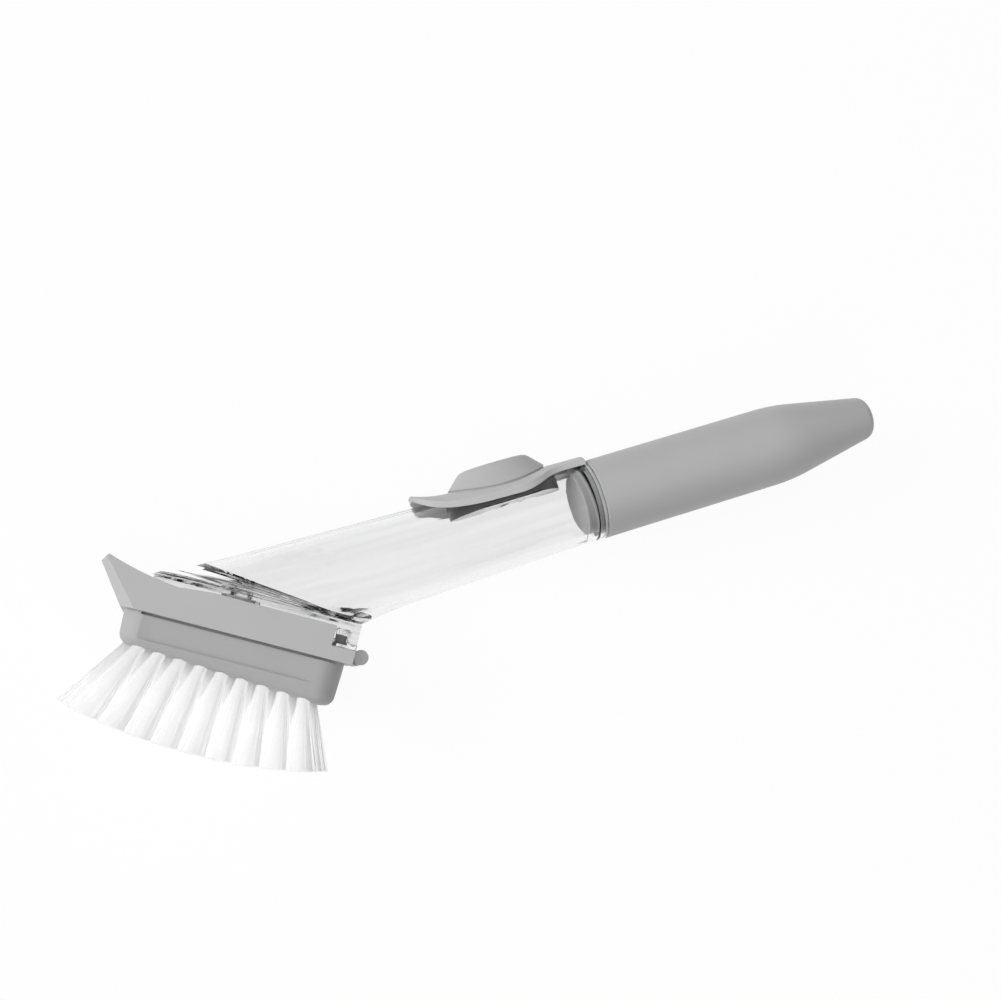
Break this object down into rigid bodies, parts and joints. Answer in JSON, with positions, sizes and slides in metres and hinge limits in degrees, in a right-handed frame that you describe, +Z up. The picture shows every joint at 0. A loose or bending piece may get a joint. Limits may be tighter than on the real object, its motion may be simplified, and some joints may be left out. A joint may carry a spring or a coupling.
{
  "type": "dish wand",
  "caption": "Dish wand with a clear soap tank, a screw-on tapered handle, a thumb pump and a slide-on head with scraper edge and white bristles",
  "frame": {"origin": "on the handle's axis, at the handle's front face", "axes": "+X along the handle's axis towards its tail, +Y towards the thumb button, +Z up, so the wand lies on its side"},
  "size_m": [0.2976, 0.0865, 0.046],
  "materials": {
    "grey_plastic": "satin, finely grained",
    "clear_plastic": "clear, polished",
    "silicone": "soft, translucent grey",
    "nylon": "white filaments",
    "anchor_metal": "bare"
  },
  "bodies": {
    "tank": {"tank_shell": "clear_plastic", "foot_plate": "clear_plastic", "outlet_valve": "silicone", "valve_retainer": "grey_plastic", "button_bezel": "grey_plastic", "pump_bellows": "silicone", "bellows_ring": "grey_plastic"},
    "thumb_button": {"thumb_button": "grey_plastic"},
    "neck_gasket": {"neck_gasket": "silicone"},
    "handle": {"handle_shell": "grey_plastic", "handle_plug": "grey_plastic"},
    "brush_head": {"head_carrier": "grey_plastic", "bristle_block": "grey_plastic", "tuft_row_1": "nylon", "tuft_row_2": "nylon", "tuft_row_3": "nylon", "tuft_row_4": "nylon", "tuft_row_5": "nylon", "tuft_anchors": "anchor_metal"},
    "release_latch": {"release_latch": "grey_plastic"}
  },
  "joints": [
    {"name": "button_press", "type": "slide", "parent": "tank", "child": "thumb_button", "axis": [0, -1, 0], "range_m": [0, 0.0025], "stiffness_N_per_m": 900, "deforming": ["pump_bellows"]},
    {"name": "seal_slide", "type": "slide", "parent": "tank", "child": "neck_gasket", "axis": [1, 0, 0], "range_m": [0, 0.008]},
    {"name": "handle_turn", "type": "hinge", "parent": "neck_gasket", "child": "handle", "pos_m": [0, 0, 0], "axis": [1, 0, 0], "range_deg": [0, 720]},
    {"name": "head_slide", "type": "slide", "parent": "tank", "child": "brush_head", "axis": [-0.848, 0.5299, 0], "range_m": [0, 0.078]},
    {"name": "latch_flex", "type": "hinge", "parent": "brush_head", "child": "release_latch", "pos_m": [-0.11295, -0.01833, 0], "axis": [0, 0, -1], "range_deg": [0, 8], "stiffness_Nm_per_rad": 0.8}
  ],
  "couplings": [
    {"joint": "seal_slide", "follows": "handle_turn", "m_per_rad": 0.00063662}
  ]
}
